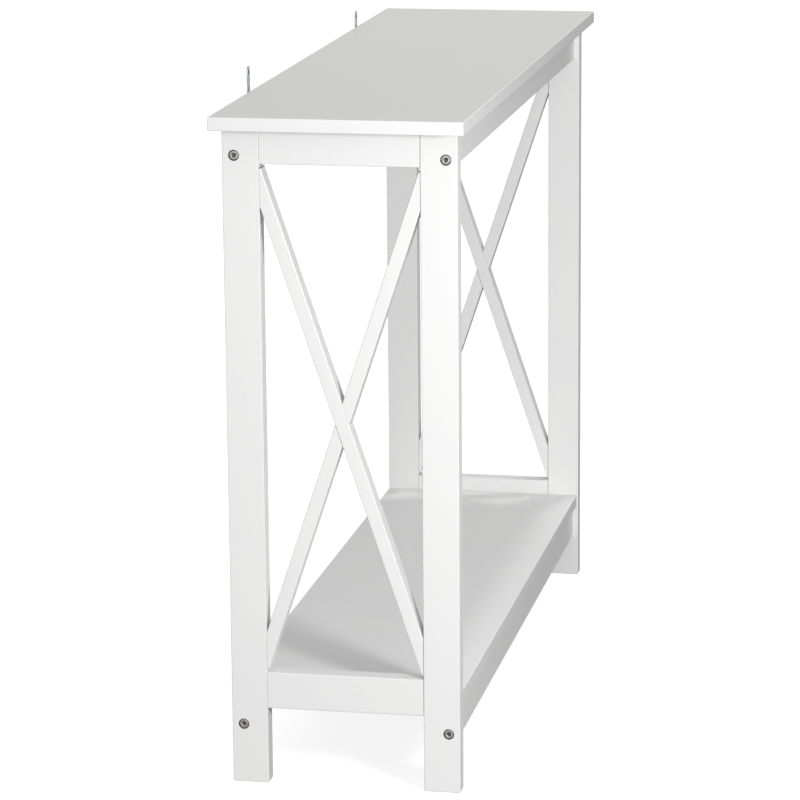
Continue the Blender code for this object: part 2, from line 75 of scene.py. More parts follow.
# Fixings
BOLT_CLEARANCE = 0.0066
COUNTERBORE = 0.0120
COUNTERBORE_DEPTH = 0.0063
BOLT_THREAD_PITCH = 0.0010
BOLT_HEAD_RADIUS = 0.0055
BOLT_HEAD_DEPTH = 0.005
BOLT_SHANK_RADIUS = 0.0030
SOCKET_WIDTH = 0.0040
SOCKET_DEPTH = 0.0030
SOCKET_CHAMFER = 0.0004
RECESS_RADIUS = 0.0045  # inside it a bolt's painted shade lies in its socket, outside it in the gap round the head
NUT_RADIUS = 0.005
NUT_BORE_RADIUS = 0.0033
NUT_SLOT_DEPTH = 0.0012
NUT_SLOT_WIDTH = 0.0015
FLUTES = 14
FLUTE_DEPTH = 0.00022
WOOD_SCREW_PITCH = 0.0016
PANEL_PILOT_RADIUS = 0.0023
PLATE_PILOT_RADIUS = 0.00205
SCREW_SINK_RADIUS = 0.0043
SCREW_HEAD_DEPTH = 0.0026
PAN_HEAD_HEIGHT = 0.0022
PLATE_CORNER = 0.002
PLATE_EASE = 0.0003
PLATE_HOLE_RADIUS = 0.0025
PLATE_HOLE_FROM_TIP = 0.0075
PLATE_SLOT_RADIUS = 0.00225
PLATE_SLOT_LOW = 0.007
PLATE_SLOT_HIGH = 0.021

# How many sides round things have
BORE_SIDES = 24
SINK_SIDES = 32
ROUND_SIDES = 48
DOWEL_SIDES = 84

# Surfaces: roughness where smoothest and dullest, and depth of the relief in metres
PAINT_SMOOTH, PAINT_DULL, PAINT_RELIEF = 0.30, 0.40, 0.00014
NICKEL_SMOOTH, NICKEL_DULL = 0.36, 0.54
ZINC_SMOOTH, ZINC_DULL = 0.26, 0.44
STEEL_RELIEF = 0.00006
SPANGLE_SMOOTH, SPANGLE_DULL, SPANGLE_RELIEF = 0.26, 0.46, 0.00004
BEECH_SMOOTH, BEECH_DULL, BEECH_RELIEF = 0.62, 0.78, 0.0001
FLOOR_SMOOTH, FLOOR_DULL, FLOOR_RELIEF = 0.55, 0.70, 0.0002
BOARD_GRAIN = 0.40  # how far the grain shows through the paint of solid boards
PANEL_GRAIN = 0.12  # and of panels

SHARP_ANGLE = math.radians(40)
CORNER_WEIGHT = 80  # how far the shading follows the large faces at an eased edge
chance = random.Random(20)

ENDS = ("left", "right")
FACES = ("front", "back")
LEVELS = ("top", "lower")
JOINTS = [(end, face, level) for end in ENDS for face in FACES for level in LEVELS]
SCREW_NUMBERS = (1, 2, 3, 4)

# Studio
FLOOR_GLOW = 0.80
FLOOR_SIZE = 20.0
SKY_LIGHT = 0.60
GROUND_LIGHT = 0.20
HORIZON_BLUR = 0.02
BACKDROP_RADIUS = 18.0
BACKDROP_HEIGHT = 9.0

# name: (place, aim, width and height, power in watts)
LIGHTS = {
    "overhead": ((0.9, -0.3, 2.9), (0.3, 0.0, 0.4), 0.14, 14.0),
    "near_side": ((-1.52, -1.22, 0.92), (-0.3, 0.0, 0.5), 0.25, 19.0),
    "front": ((-7.87, -1.39, 0.73), (0.0, 0.0, 0.45), 2.0, 170.0),
}

# Colours
PAINT_WARM = (0.812, 0.812, 0.806, 1)
PAINT_COOL = (0.803, 0.804, 0.803, 1)
# painted shade for the top's upper face, greyer than the rest of the paint
TOP_PAINTED_SHADE = (0.715, 0.716, 0.705, 1)
STREAK_TINT = (0.92, 0.92, 0.912, 1)
WORN_PAINT = (0.70, 0.69, 0.665, 1)
DUST = (0.26, 0.25, 0.235, 1)
# painted shade, near black, for bored walls and sawn brace tips
CREVICE_SHADE = (0.10, 0.085, 0.07, 1)
NICKEL_LIGHT = (0.68, 0.675, 0.66, 1)
NICKEL_DARK = (0.36, 0.355, 0.345, 1)
ZINC_LIGHT = (0.68, 0.66, 0.58, 1)
ZINC_DARK = (0.55, 0.54, 0.50, 1)
TARNISH = (0.20, 0.19, 0.175, 1)
# painted shade for bolt sockets and the gap round bolt heads
RECESS_SHADE = (0.07, 0.068, 0.064, 1)
SPANGLE_DARK = (0.50, 0.545, 0.575, 1)
SPANGLE_LIGHT = (0.63, 0.66, 0.675, 1)
PASSIVATION = (0.60, 0.57, 0.45, 1)
SHEARED_EDGE = (0.40, 0.405, 0.41, 1)
# painted shade for the wall of the plate's hole
HOLE_SHADE = (0.035, 0.033, 0.03, 1)
BEECH_LIGHT = (0.62, 0.43, 0.26, 1)
BEECH_DARK = (0.47, 0.30, 0.165, 1)
BEECH_FLECK = (0.27, 0.155, 0.08, 1)
FLOOR_LIGHT = (0.42, 0.42, 0.42, 1)
FLOOR_DARK = (0.405, 0.407, 0.41, 1)
WHITE = (1.0, 1.0, 1.0, 1)


# ---------------------------------------------------------------- materials


class Graph:
    """A node material under construction, with short ways to add nodes."""

    def __init__(self, name):
        self.material = bpy.data.materials.new(name)
        self.material.use_nodes = True
        self.tree = self.material.node_tree
        self.shader = self.tree.nodes["Principled BSDF"]

    def set(self, node, key, value):
        if isinstance(value, bpy.types.NodeSocket):
            self.tree.links.new(value, node.inputs[key])
        else:
            node.inputs[key].default_value = value

    def node(self, kind, inputs, **settings):
        made = self.tree.nodes.new("ShaderNode" + kind)
        for key, value in settings.items():
            setattr(made, key, value)
        for key, value in inputs.items():
            self.set(made, key, value)
        return made

    def math(self, operation, a, b):
        return self.node("Math", {0: a, 1: b}, operation=operation).outputs[0]

    def times(self, a, b):
        return self.math("MULTIPLY", a, b)

    def plus(self, a, b):
        return self.math("ADD", a, b)

    def attribute(self, name, output="Fac"):
        return self.node("Attribute", {}, attribute_name=name).outputs[output]

    def stretched(self, vector, scale):
        return self.node("Mapping", {"Vector": vector, "Scale": scale}).outputs[0]

    def noise(self, vector, scale, detail=3.0, roughness=0.5, distortion=0.0):
        inputs = {
            "Vector": vector,
            "Scale": scale,
            "Detail": detail,
            "Roughness": roughness,
            "Distortion": distortion,
        }
        return self.node("TexNoise", inputs).outputs[0]

    def spread(self, value, low, high, to_low=0.0, to_high=1.0):
        inputs = {0: value, 1: low, 2: high, 3: to_low, 4: to_high}
        return self.node("MapRange", inputs, clamp=True).outputs[0]

    def mix(self, factor, a, b, blend="MIX"):
        made = self.node("Mix", {0: factor}, data_type="RGBA", blend_type=blend)
        self.set(made, 6, a)
        self.set(made, 7, b)
        return made.outputs[2]

    def bump(self, height, distance, strength):
        inputs = {"Height": height, "Distance": distance, "Strength": strength}
        return self.node("Bump", inputs).outputs[0]

    def finish(self, color, roughness, normal, metallic=0.0, **plain):
        self.set(self.shader, "Base Color", color)
        self.set(self.shader, "Roughness", roughness)
        self.set(self.shader, "Metallic", metallic)
        self.set(self.shader, "Normal", normal)
        for key, value in plain.items():
            self.set(self.shader, key.replace("_", " "), value)
        return self.material


def paint_material(name, grain_depth):
    """Satin white paint over a board whose grain still shows as long, faint streaks.

    The mesh says where the top's upper face is painted greyer as shade, where an eased edge is (edge), and
    where bored walls and sawn tips are painted near black as shade.
    """
    g = Graph(name)
    top_painted_shade = g.attribute("top_painted_shade")
    place = g.attribute("grain", "Vector")
    edge = g.attribute("edge")
    painted_crevice_shade = g.attribute("painted_crevice_shade")

    # Broad clouds, streaks and fibres along the grain, orange peel, and the patches of a rubbed edge
    cloud = g.noise(place, 7.0, 3.0, 0.55)
    streak = g.noise(g.stretched(place, (5.0, 170.0, 170.0)), 1.0, 5.0, 0.62, 0.25)
    fibre = g.noise(g.stretched(place, (38.0, 1100.0, 1100.0)), 1.0, 3.0, 0.6)
    peel = g.noise(place, 620.0, 2.0, 0.5)
    rub = g.noise(place, 46.0, 4.0, 0.65)

    # A few pinholes and dust nibs, at a small share of the cells of a coarse pattern
    apart = g.node("SeparateXYZ", {0: place})
    across = g.plus(apart.outputs[1], g.times(apart.outputs[2], 1.37))
    flat = g.node("CombineXYZ", {0: apart.outputs[0], 1: across}).outputs[0]
    cells = g.node("TexVoronoi", {"Vector": flat, "Scale": 15.0}, voronoi_dimensions="2D")
    dot = g.spread(cells.outputs["Distance"], 0.006, 0.013, 1.0, 0.0)
    pick = g.node("SeparateColor", {0: cells.outputs["Color"]}).outputs[0]
    speck = g.times(dot, g.math("GREATER_THAN", pick, 0.92))

    white = g.mix(g.spread(cloud, 0.35, 0.65), PAINT_WARM, PAINT_COOL)
    # Painted shade: the top's upper face is mixed towards a greyer white
    greyer = g.mix(top_painted_shade, white, TOP_PAINTED_SHADE)
    streaks = g.spread(streak, 0.42, 0.72, 0.0, 0.22 * grain_depth)
    streaked = g.mix(streaks, greyer, STREAK_TINT, "MULTIPLY")
    worn = g.times(edge, g.spread(rub, 0.48, 0.66))
    thinned = g.mix(g.times(worn, 0.45), streaked, WORN_PAINT)
    dusty = g.mix(g.times(speck, 0.45), thinned, DUST)
    # Painted shade: bored walls and sawn tips are mixed towards near black
    color = g.mix(g.times(painted_crevice_shade, g.spread(fibre, 0.3, 0.6, 0.86, 0.96)), dusty, CREVICE_SHADE)

    sheen = g.plus(g.times(streak, grain_depth), g.times(cloud, 0.6))
    middling = 0.5 * grain_depth
    rough = g.spread(sheen, middling, middling + 0.6, PAINT_SMOOTH, PAINT_DULL)
    rubbed = g.math("SUBTRACT", rough, g.times(worn, 0.02))
    roughness = g.plus(rubbed, g.times(painted_crevice_shade, 0.45))

    grain = g.times(g.plus(g.times(streak, 0.45), g.times(fibre, 0.20)), grain_depth)
    height = g.plus(grain, g.times(peel, 0.16))
    sunk = g.math("SUBTRACT", height, g.times(speck, 0.9))
    return g.finish(color, roughness, g.bump(sunk, PAINT_RELIEF, 0.7), Specular_IOR_Level=0.5)


def steel_material(name, light, dark, low, high):
    """Plated steel with fine rings round the piece's axis, which is its local X.

    On these pieces the edge attribute says how deep a spot lies in a recess, where painted shade darkens
    it.
    """
    g = Graph(name)
    place = g.attribute("grain", "Vector")
    recess = g.attribute("edge")
    apart = g.node("SeparateXYZ", {0: place})
    flat = g.node("CombineXYZ", {1: apart.outputs[1], 2: apart.outputs[2]}).outputs[0]
    radius = g.node("VectorMath", {0: flat}, operation="LENGTH").outputs[1]
    spot = g.noise(place, 900.0, 4.0, 0.6)
    blotch = g.noise(place, 520.0, 3.0, 0.6)
    tone = g.mix(g.spread(blotch, 0.38, 0.64), light, dark)
    tarnish = g.mix(g.spread(spot, 0.60, 0.74, 0.0, 0.5), tone, TARNISH)
    # Painted shade: recesses are mixed towards near black
    recess_shaded = g.mix(g.times(recess, 0.86), tarnish, RECESS_SHADE)
    polish = g.spread(g.plus(spot, g.times(blotch, 0.8)), 0.6, 1.2, low, high)
    roughness = g.plus(polish, g.times(recess, 0.12))
    ring_place = g.node("CombineXYZ", {0: radius}).outputs[0]
    lines = g.noise(ring_place, 5200.0, 2.0, 0.6)
    height = g.plus(g.times(lines, 0.7), g.times(spot, 0.3))
    return g.finish(recess_shaded, roughness, g.bump(height, STEEL_RELIEF, 0.6), metallic=1.0)


def zinc_material():
    """Bright zinc on sheet steel: small grey-blue spangles with a faint yellow passivation.

    The mesh says where the sheet was cut (edge), and where the hole's wall is painted dark as shade.
    """
    g = Graph("zinc_plated_sheet")
    place = g.attribute("grain", "Vector")
    edge = g.attribute("edge")
    painted_crevice_shade = g.attribute("painted_crevice_shade")
    cells = g.node("TexVoronoi", {"Vector": place, "Scale": 520.0})
    pick = g.node("SeparateColor", {0: cells.outputs["Color"]}).outputs[0]
    blue = g.mix(g.spread(pick, 0.0, 1.0), SPANGLE_DARK, SPANGLE_LIGHT)
    film = g.noise(place, 130.0, 3.0, 0.55)
    color = g.mix(g.spread(film, 0.52, 0.70, 0.0, 0.35), blue, PASSIVATION)
    sheared = g.mix(g.times(edge, 0.45), color, SHEARED_EDGE)
    # Painted shade: the hole's wall is mixed towards near black
    hole_shaded = g.mix(g.times(painted_crevice_shade, 0.92), sheared, HOLE_SHADE)
    scratch = g.noise(g.stretched(place, (60.0, 2600.0, 2600.0)), 1.0, 3.0, 0.7)
    dull = g.plus(scratch, g.times(pick, 0.3))
    roughness = g.spread(dull, 0.4, 0.95, SPANGLE_SMOOTH, SPANGLE_DULL)
    height = g.plus(g.times(pick, 0.3), scratch)
    return g.finish(hole_shaded, roughness, g.bump(height, SPANGLE_RELIEF, 0.6), metallic=1.0)


def beech_material():
    """Bare beech: pale brown with short dark flecks along the grain."""
    g = Graph("bare_beech")
    place = g.attribute("grain", "Vector")
    ring = g.noise(g.stretched(place, (14.0, 420.0, 420.0)), 1.0, 4.0, 0.6, 0.3)
    fleck = g.noise(g.stretched(place, (420.0, 2600.0, 2600.0)), 1.0, 2.0, 0.5)
    wood = g.mix(g.spread(ring, 0.3, 0.7), BEECH_LIGHT, BEECH_DARK)
    color = g.mix(g.spread(fleck, 0.58, 0.70, 0.0, 0.6), wood, BEECH_FLECK)
    roughness = g.spread(ring, 0.3, 0.7, BEECH_SMOOTH, BEECH_DULL)
    height = g.plus(ring, g.times(fleck, 0.5))
    return g.finish(color, roughness, g.bump(height, BEECH_RELIEF, 0.7))


def floor_material():
    """A pale studio floor, evenly lit, with a barely visible texture."""
    g = Graph("pale_floor")
    place = g.node("NewGeometry", {}).outputs["Position"]
    cloud = g.noise(place, 1.3, 4.0, 0.55)
    fine = g.noise(place, 55.0, 4.0, 0.6)
    color = g.mix(g.spread(cloud, 0.35, 0.65), FLOOR_LIGHT, FLOOR_DARK)
    roughness = g.spread(fine, 0.3, 0.7, FLOOR_SMOOTH, FLOOR_DULL)
    height = g.plus(fine, g.times(cloud, 0.2))
    relief = g.bump(height, FLOOR_RELIEF, 0.4)
    material = g.finish(color, roughness, relief, Specular_IOR_Level=0.25)
    g.set(g.shader, "Emission Color", WHITE)
    g.set(g.shader, "Emission Strength", FLOOR_GLOW)
    return material


# ---------------------------------------------------------------- mesh tools


def mesh_from(bm, name):
    bmesh.ops.recalc_face_normals(bm, faces=bm.faces)
    mesh = bpy.data.meshes.new(name)
    bm.to_mesh(mesh)
    bm.free()
    return mesh


def carved(mesh, cutters):
    """The mesh with the closed bodies in the cutters' bmesh taken out of it."""
    body = bpy.data.objects.new("carving", mesh)
    tool = bpy.data.objects.new("carver", mesh_from(cutters, "carver"))
    for item in (body, tool):
        bpy.context.scene.collection.objects.link(item)
    boolean = body.modifiers.new("carve", "BOOLEAN")
    boolean.operation = "DIFFERENCE"
    boolean.solver = "EXACT"
    boolean.object = tool
    graph = bpy.context.evaluated_depsgraph_get()
    result = bpy.data.meshes.new_from_object(body.evaluated_get(graph))
    for item in (body, tool):
        bpy.data.objects.remove(item, do_unlink=True)
    return result


def add_box(bm, low, high):
    low = Vector(low)
    high = Vector(high)
    matrix = Matrix.Translation((low + high) / 2) @ Matrix.Diagonal((*(high - low), 1.0))
    return bmesh.ops.create_cube(bm, size=1.0, matrix=matrix)["verts"]


def pointing(start, direction):
    """The matrix that takes local +X to this direction, with the origin at start."""
    turn = Vector((1, 0, 0)).rotation_difference(Vector(direction)).to_matrix().to_4x4()
    return Matrix.Translation(start) @ turn


def lathe(bm, stations, matrix=None, segments=SINK_SIDES):
    """A closed round body along local X, through stations of (distance, radius).

    A radius may be a function of the angle.
    """
    matrix = matrix or Matrix()
    rings = []
    for distance, radius in stations:
        ring = []
        for step in range(segments):
            angle = math.tau * (step + 0.5) / segments
            reach = radius(angle) if callable(radius) else radius
            point = Vector((distance, reach * math.cos(angle), reach * math.sin(angle)))
            ring.append(bm.verts.new(matrix @ point))
        rings.append(ring)
    for lower, upper in zip(rings, rings[1:]):
        for step in range(segments):
            after = (step + 1) % segments
            bm.faces.new((lower[step], lower[after], upper[after], upper[step]))
    bm.faces.new(rings[0][::-1])
    bm.faces.new(rings[-1])


def threaded(start, end, crest, depth, pitch, rows=4):
    """Stations of a screw thread whose ridge winds round the axis."""
    count = max(2, round((end - start) / pitch * rows))
    stations = []
    for row in range(count + 1):
        distance = start + (end - start) * row / count
        fade = min(1.0, row / rows, (count - row) / rows)

        def radius(angle, distance=distance, fade=fade):
            phase = (distance / pitch - angle / math.tau) % 1.0
            return crest - depth * fade * abs(2.0 * phase - 1.0)

        stations.append((distance, radius))
    return stations


def fillet(centre_x, centre_r, size, first, last, steps=4):
    """Stations along a rounded corner, angles in degrees from the axis direction."""
    made = []
    for step in range(steps + 1):
        angle = math.radians(first + (last - first) * step / steps)
        made.append((centre_x + size * math.cos(angle), centre_r + size * math.sin(angle)))
    return made


def prism(bm, corners, depth):
    """A closed body: the flat outline through these corners, carried on by the vector depth."""
    face = bm.faces.new([bm.verts.new(corner) for corner in corners])
    extruded = bmesh.ops.extrude_face_region(bm, geom=[face])["geom"]
    moved = [item for item in extruded if isinstance(item, bmesh.types.BMVert)]
    bmesh.ops.translate(bm, vec=depth, verts=moved)
    bmesh.ops.recalc_face_normals(bm, faces=bm.faces)


def tenon(bm, direction, length):
    """A stub tenon on the body's end face in this direction."""
    direction = Vector(direction)
    bm.normal_update()
    face = max(bm.faces, key=lambda item: item.normal.dot(direction))
    bmesh.ops.inset_region(bm, faces=[face], thickness=TENON_SHOULDER, use_even_offset=True)
    extruded = bmesh.ops.extrude_discrete_faces(bm, faces=[face])["faces"]
    bmesh.ops.translate(bm, vec=direction * length, verts=extruded[0].verts)


def round_edges(bm, edges, size, segments=3):
    bmesh.ops.bevel(bm, geom=edges, offset=size, segments=segments, profile=0.5, affect="EDGES")


def mark(mesh, matrix, half=None, offset=(0.0, 0.0, 0.0)):
    """Stores each vertex's place in its piece's own axes, and whether it lies on an eased edge.

    half holds half the board's size along each axis. Without it no vertex counts as on an edge.
    """
    count = len(mesh.vertices)
    points = np.empty(count * 3)
    mesh.vertices.foreach_get("co", points)
    points = points.reshape(-1, 3)
    back = np.array(matrix.inverted())
    local = points @ back[:3, :3].T + back[:3, 3]
    if half is None:
        edge = np.zeros(count)
    else:
        away = np.array(half) - np.abs(local)
        edge = ((away < ARRIS * 0.95).sum(axis=1) >= 2).astype(float)
    stored = mesh.attributes.new("grain", "FLOAT_VECTOR", "POINT")
    stored.data.foreach_set("vector", (local + np.array(offset)).astype(np.float32).ravel())
    stored = mesh.attributes.new("edge", "FLOAT", "POINT")
    stored.data.foreach_set("value", edge.astype(np.float32))


def show(mesh, name, material, nodes, matrix=None):
    """Puts the mesh in the scene as a piece that stands for these CAD nodes."""
    if not mesh.materials:
        mesh.materials.append(material)
    mesh.materials[0] = material
    mesh.shade_smooth()
    mesh.set_sharp_from_angle(angle=SHARP_ANGLE)
    piece = bpy.data.objects.new(name, mesh)
    bpy.context.scene.collection.objects.link(piece)
    if matrix is not None:
        piece.matrix_world = matrix
    even = piece.modifiers.new("even_shading", "WEIGHTED_NORMAL")
    even.keep_sharp = True
    even.weight = CORNER_WEIGHT
    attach(piece, "root")
    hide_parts(*nodes)
    return piece


def middle(node):
    low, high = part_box(node)
    return (low + high) / 2


# ---------------------------------------------------------------- boards

# Local axes of a board, as (grain, width, thickness) in world directions
UPRIGHT = Matrix(((0, 0, 1), (0, 1, 0), (1, 0, 0))).to_4x4()
ENDWISE = Matrix(((0, 0, 1), (1, 0, 0), (0, 1, 0))).to_4x4()
LONG_EDGE_UP = Matrix(((1, 0, 0), (0, 0, 1), (0, 1, 0))).to_4x4()
LONG_FLAT = Matrix.Identity(4)


def random_offset():
    return [chance.uniform(-9.0, 9.0) for _ in range(3)]


def finish_board(mesh, node, matrix, half, paint=None):
    """Marks the board's grain and edges, and shows it in place of its node."""
    mark(mesh, matrix, half, random_offset())
    show(mesh, f"{node}_painted", paint or PAINT, [node])


def finish_square_board(mesh, node, axes, low, high, ends_rounded, paint=None):
    """The same for a board that lies square in the frame, between these corners."""
    matrix = Matrix.Translation((low + high) / 2) @ axes
    back = axes.inverted().to_3x3()
    half = [abs(value) for value in back @ ((high - low) / 2)]
    if not ends_rounded:
        half[0] = FAR
    finish_board(mesh, node, matrix, half, paint)


def panel_screw_bores(bm, prefix):
    """Pilot bores in a panel's underside, one for each screw."""
    radius = PANEL_PILOT_RADIUS
    for number in SCREW_NUMBERS:
        low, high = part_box(f"{prefix}_{number}")
        start = Vector(((low.x + high.x) / 2, (low.y + high.y) / 2, low.z))
        depth = high.z - low.z + FIT
        lathe(bm, [(0.0, radius), (depth, radius)], pointing(start, (0, 0, 1)), BORE_SIDES)


def make_top():
    low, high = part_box("top_panel")
    bm = bmesh.new()
    add_box(bm, low, high)
    round_edges(bm, bm.edges[:], ARRIS)
    cutters = bmesh.new()
    panel_screw_bores(cutters, "top_screw")
    radius = PLATE_PILOT_RADIUS
    for end in ENDS:
        screw_low, screw_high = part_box(f"plate_screw_{end}")
        centre = (screw_low + screw_high) / 2
        start = Vector((centre.x, high.y + OVERCUT, centre.z))
        depth = high.y - screw_low.y + OVERCUT + FIT
        lathe(cutters, [(0.0, radius), (depth, radius)], pointing(start, (0, -1, 0)), BORE_SIDES)
    mesh = carved(mesh_from(bm, "top_panel_painted"), cutters)
    # Painted shade on the upper face only
    stored = mesh.attributes.new("top_painted_shade", "FLOAT", "POINT")
    for vertex in mesh.vertices:
        stored.data[vertex.index].value = 1.0 if vertex.co.z > high.z - FACE_DEPTH else 0.0
    finish_square_board(mesh, "top_panel", LONG_FLAT, low, high, True, PANEL_PAINT)


def make_shelf():
    low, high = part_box("shelf_panel")
    bm = bmesh.new()
    add_box(bm, low, high)
    round_edges(bm, bm.edges[:], ARRIS)
    cutters = bmesh.new()
    panel_screw_bores(cutters, "shelf_screw")
    mesh = carved(mesh_from(bm, "shelf_panel_painted"), cutters)
    finish_square_board(mesh, "shelf_panel", LONG_FLAT, low, high, True, PANEL_PAINT)


def bolt_bore(bm, end, face, level):
    """The counterbore in a leg's outer face with the clearance bore behind it."""
    inward = Vector((1, 0, 0)) if end == "left" else Vector((-1, 0, 0))
    low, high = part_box(f"leg_{end}_{face}")
    centre = middle(f"connector_bolt_{end}_{face}_{level}")
    outer = low.x if end == "left" else high.x
    start = Vector((outer, centre.y, centre.z))
    radius = COUNTERBORE / 2
    stations = [(-OVERCUT, radius + RIM + OVERCUT), (0.0, radius + RIM)]
    stations += [(RIM * 0.3, radius + RIM * 0.45), (RIM, radius)]
    stations += [(COUNTERBORE_DEPTH, radius), (COUNTERBORE_DEPTH, BOLT_CLEARANCE / 2)]
    stations += [(high.x - low.x + OVERCUT, BOLT_CLEARANCE / 2)]
    lathe(bm, stations, pointing(start, inward), ROUND_SIDES)


def dowel_bore(bm, node):
    """A bore of this dowel's own length and width, with a fitting gap."""
    low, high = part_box(node)
    start = Vector((low.x - FIT / 2, (low.y + high.y) / 2, (low.z + high.z) / 2))
    length = high.x - low.x + FIT
    radius = (high.z - low.z) / 2 + FIT
    lathe(bm, [(0.0, radius), (length, radius)], pointing(start, (1, 0, 0)), BORE_SIDES)


def mortise(bm, low, high):
    """A slot for a tenon that fills the space between these corners, with a fitting gap."""
    gap = Vector((FIT, FIT, FIT))
    add_box(bm, Vector(low) - gap, Vector(high) + gap)


def make_leg(end, face):
    node = f"leg_{end}_{face}"
    low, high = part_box(node)
    bm = bmesh.new()
    add_box(bm, low, high)
    round_edges(bm, bm.edges[:], ARRIS)
    cutters = bmesh.new()
    for level in LEVELS:
        bolt_bore(cutters, end, face, level)
        dowel_bore(cutters, f"rail_dowel_{end}_{face}_{level}")
    inner = high.y if face == "front" else low.y
    inset = TENON_SHOULDER
    for rail in (f"end_top_rail_{end}", f"end_lower_rail_{end}"):
        rail_low, rail_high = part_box(rail)
        reach = rail_low.y if face == "front" else rail_high.y
        side_low, side_high = sorted((inner, reach))
        corner = (low.x + inset, side_low, rail_low.z + inset)
        mortise(cutters, corner, (high.x - inset, side_high, rail_high.z - inset))
    for brace in BRACES:
        if brace["end"] != end:
            continue
        reach = inner - BRACE_TENON if face == "front" else inner + BRACE_TENON
        side_low, side_high = sorted((inner, reach))
        bottom, top = brace["contacts"][face]
        corner = (low.x + inset, side_low, bottom + inset)
        mortise(cutters, corner, (high.x - inset, side_high, top - inset))
    mesh = carved(mesh_from(bm, f"{node}_painted"), cutters)
    outer = low.x if end == "left" else high.x
    axes = [middle(f"connector_bolt_{end}_{face}_{level}") for level in LEVELS]
    # Painted shade on the counterbores' walls below the rim
    painted_crevice_shade = mesh.attributes.new("painted_crevice_shade", "FLOAT", "POINT").data
    for vertex in mesh.vertices:
        place = vertex.co
        across = min(math.hypot(place.y - axis.y, place.z - axis.z) for axis in axes)
        depth = abs(place.x - outer)
        in_wall = across < COUNTERBORE / 2 + RIM * 0.1
        below_rim = RIM * 0.9 < depth < COUNTERBORE_DEPTH + FIT
        painted_crevice_shade[vertex.index].value = 1.0 if in_wall and below_rim else 0.0
    finish_square_board(mesh, node, UPRIGHT, low, high, True)


def ease_long(bm):
    """Rounds the long edges. The ends butt against the legs, and stay square."""
    longest = max(edge.calc_length() for edge in bm.edges)
    edges = [edge for edge in bm.edges if edge.calc_length() > longest - FIT]
    round_edges(bm, edges, ARRIS)


def make_end_rail(end, level):
    node = f"end_{level}_rail_{end}"
    low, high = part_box(node)
    low.y += RAIL_TENON
    high.y -= RAIL_TENON
    bm = bmesh.new()
    add_box(bm, low, high)
    for direction in ((0, -1, 0), (0, 1, 0)):
        tenon(bm, direction, RAIL_TENON)
    ease_long(bm)
    mesh = mesh_from(bm, f"{node}_painted")
    finish_square_board(mesh, node, ENDWISE, low, high, False)


def nut_bore(bm, node, inner_y):
    """The blind bore across a long rail that holds a barrel nut."""
    low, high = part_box(node)
    centre = (low + high) / 2
    outward = 1.0 if inner_y > centre.y else -1.0
    far = low.y if outward > 0 else high.y
    start = Vector((centre.x, far - outward * FIT, centre.z))
    radius = (high.z - low.z) / 2 + FIT
    surface = abs(inner_y - start.y)
    stations = [(0.0, radius), (surface - RIM, radius), (surface, radius + RIM)]
    stations += [(surface + OVERCUT, radius + RIM + OVERCUT)]
    lathe(bm, stations, pointing(start, (0, outward, 0)), ROUND_SIDES)


def make_long_rail(node, face, level, prefix):
    low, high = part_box(node)
    bm = bmesh.new()
    add_box(bm, low, high)
    ease_long(bm)
    cutters = bmesh.new()
    inner_y = high.y if face == "front" else low.y
    for end in ENDS:
        suffix = f"{end}_{face}_{level}"
        dowel_bore(cutters, f"rail_dowel_{suffix}")
        nut_bore(cutters, f"barrel_nut_{suffix}", inner_y)
        bolt_low, bolt_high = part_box(f"connector_bolt_{suffix}")
        centre = (bolt_low + bolt_high) / 2
        start = Vector((bolt_low.x - FIT, centre.y, centre.z))
        length = bolt_high.x - bolt_low.x + 2 * FIT
        radius = BOLT_CLEARANCE / 2
        lathe(cutters, [(0.0, radius), (length, radius)], pointing(start, (1, 0, 0)), BORE_SIDES)
    sink = SCREW_SINK_RADIUS
    pilot = PANEL_PILOT_RADIUS
    for number in SCREW_NUMBERS:
        screw_low, screw_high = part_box(f"{prefix}_{number}")
        centre = (screw_low + screw_high) / 2
        if not low.y < centre.y < high.y:
            continue
        seat = screw_low.z - low.z
        stations = [(-OVERCUT, sink + RIM + OVERCUT), (0.0, sink + RIM), (RIM, sink), (seat, sink)]
        stations += [(seat + SCREW_HEAD_DEPTH, pilot), (high.z - low.z + OVERCUT, pilot)]
        start = Vector((centre.x, centre.y, low.z))
        lathe(cutters, stations, pointing(start, (0, 0, 1)), SINK_SIDES)
    mesh = carved(mesh_from(bm, f"{node}_painted"), cutters)
    finish_square_board(mesh, node, LONG_EDGE_UP, low, high, False)


def brace_facts():
    """Where each brace runs, from the places of the legs and end rails around it."""
    facts = []
    for end in ENDS:
        front_low, front_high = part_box(f"leg_{end}_front")
        back_low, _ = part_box(f"leg_{end}_back")
        reach = (back_low.y - front_high.y) / 2 - FIT
        centre_y = (back_low.y + front_high.y) / 2
        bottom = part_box(f"end_lower_rail_{end}")[1].z
        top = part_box(f"end_top_rail_{end}")[0].z
        half = (top - bottom) / 2
        # The lean and the height of the end against the leg depend on each other, and soon settle
        end_height = BRACE_WIDTH
        for _ in range(40):
            lean = math.atan2(2 * reach, 2 * half - end_height)
            end_height = BRACE_WIDTH / math.sin(lean)
        low = half - end_height
        high = half - BRACE_TIP_GAP
        centre = Vector(((front_low.x + front_high.x) / 2, centre_y, (top + bottom) / 2))
        for face, turn in (("front", -1), ("back", 1)):
            up = (centre.z + low, centre.z + high)
            down = (centre.z - high, centre.z - low)
            other = "back" if face == "front" else "front"
            facts.append(
                {
                    "node": f"brace_{end}_rising_{face}",
                    "end": end,
                    "turn": turn,
                    "lean": lean,
                    "reach": reach,
                    "low": low,
                    "high": high,
                    "centre": centre,
                    "thickness": front_high.x - front_low.x,
                    "contacts": {face: up, other: down},
                }
            )
    return facts


